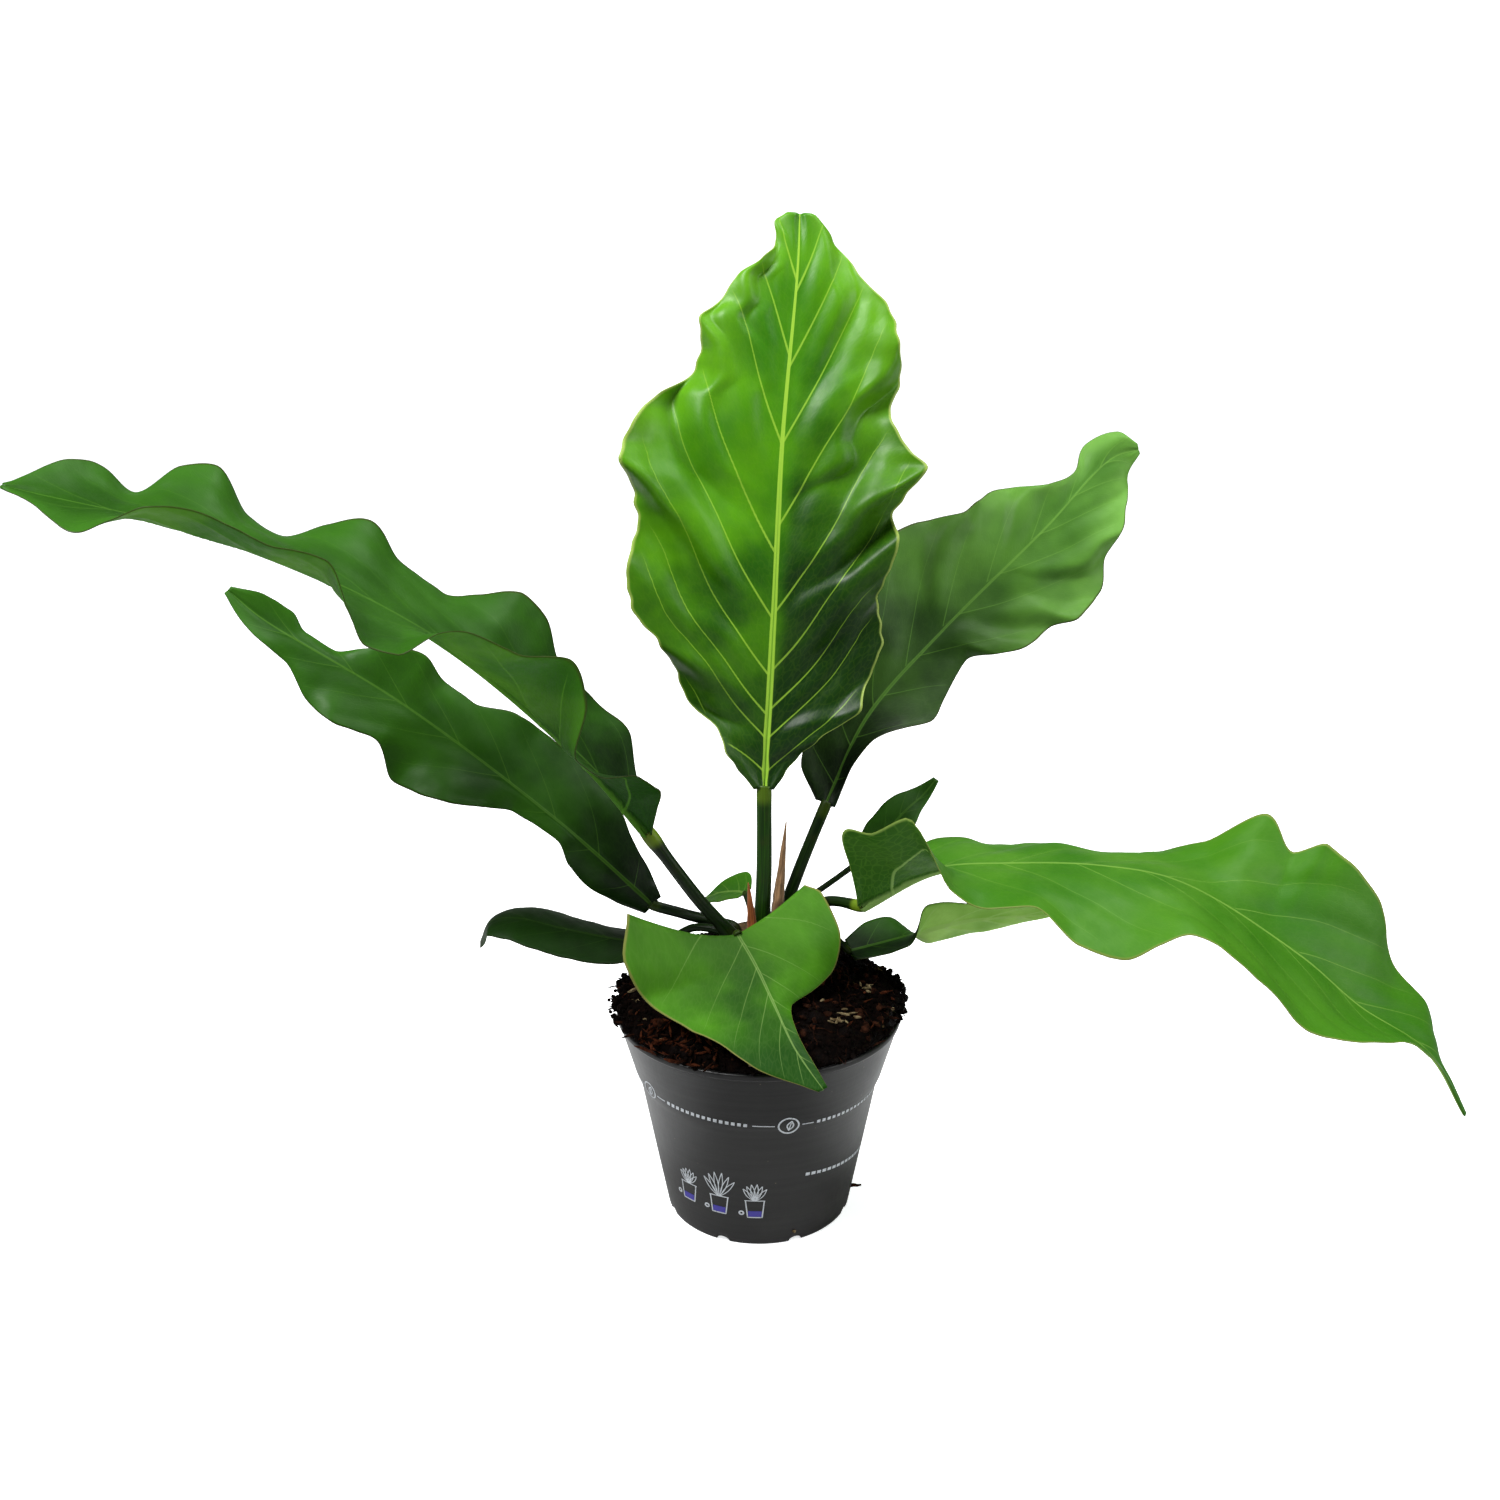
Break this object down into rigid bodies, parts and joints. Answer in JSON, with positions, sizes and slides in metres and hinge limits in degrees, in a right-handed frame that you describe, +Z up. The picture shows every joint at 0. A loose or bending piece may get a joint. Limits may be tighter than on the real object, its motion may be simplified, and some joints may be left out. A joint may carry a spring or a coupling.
{
  "type": "potted anthurium plant",
  "caption": "Foliage anthurium with long wavy-edged strap leaves and one upright leaf, in a tapered black nursery pot heaped with peat.",
  "frame": {"origin": "centre of the pot's underside, on the surface that it stands on", "axes": "+Z up, +X towards the long drooping leaf on the right, -Y the way the tallest leaf's upper face looks"},
  "size_m": [0.5511, 0.1962, 0.4096],
  "materials": {
    "pot": "satin black thermoformed plastic",
    "soil": "rough moist peat with bark crumbs",
    "crown": "dry brown-green stem",
    "young_leaf": "glossy waxy light green",
    "leaf": "glossy waxy mid green",
    "dark_leaf": "satin waxy dark green",
    "petiole": "smooth dark green stalk",
    "sheath": "papery orange-brown scale",
    "print": "thin pale grey ink",
    "print_blue": "thin blue ink"
  },
  "bodies": {
    "root": {"pot": "pot", "soil": "soil", "crown": "crown", "petiole_centre": "petiole", "blade_centre": "young_leaf", "petiole_back_right": "petiole", "blade_back_right": "dark_leaf", "petiole_upper_left": "petiole", "blade_upper_left": "dark_leaf", "petiole_lower_left": "petiole", "blade_lower_left": "dark_leaf", "petiole_low_left": "petiole", "blade_low_left": "dark_leaf", "petiole_front": "petiole", "blade_front": "leaf", "petiole_right": "petiole", "blade_right": "leaf", "petiole_low_right": "petiole", "blade_low_right": "leaf", "petiole_small_right": "petiole", "blade_small_right": "leaf", "petiole_small_back": "petiole", "blade_small_back": "young_leaf", "sheath_orange": "sheath", "sheath_brown": "sheath", "sheath_pink": "sheath"}
  },
  "joints": []
}
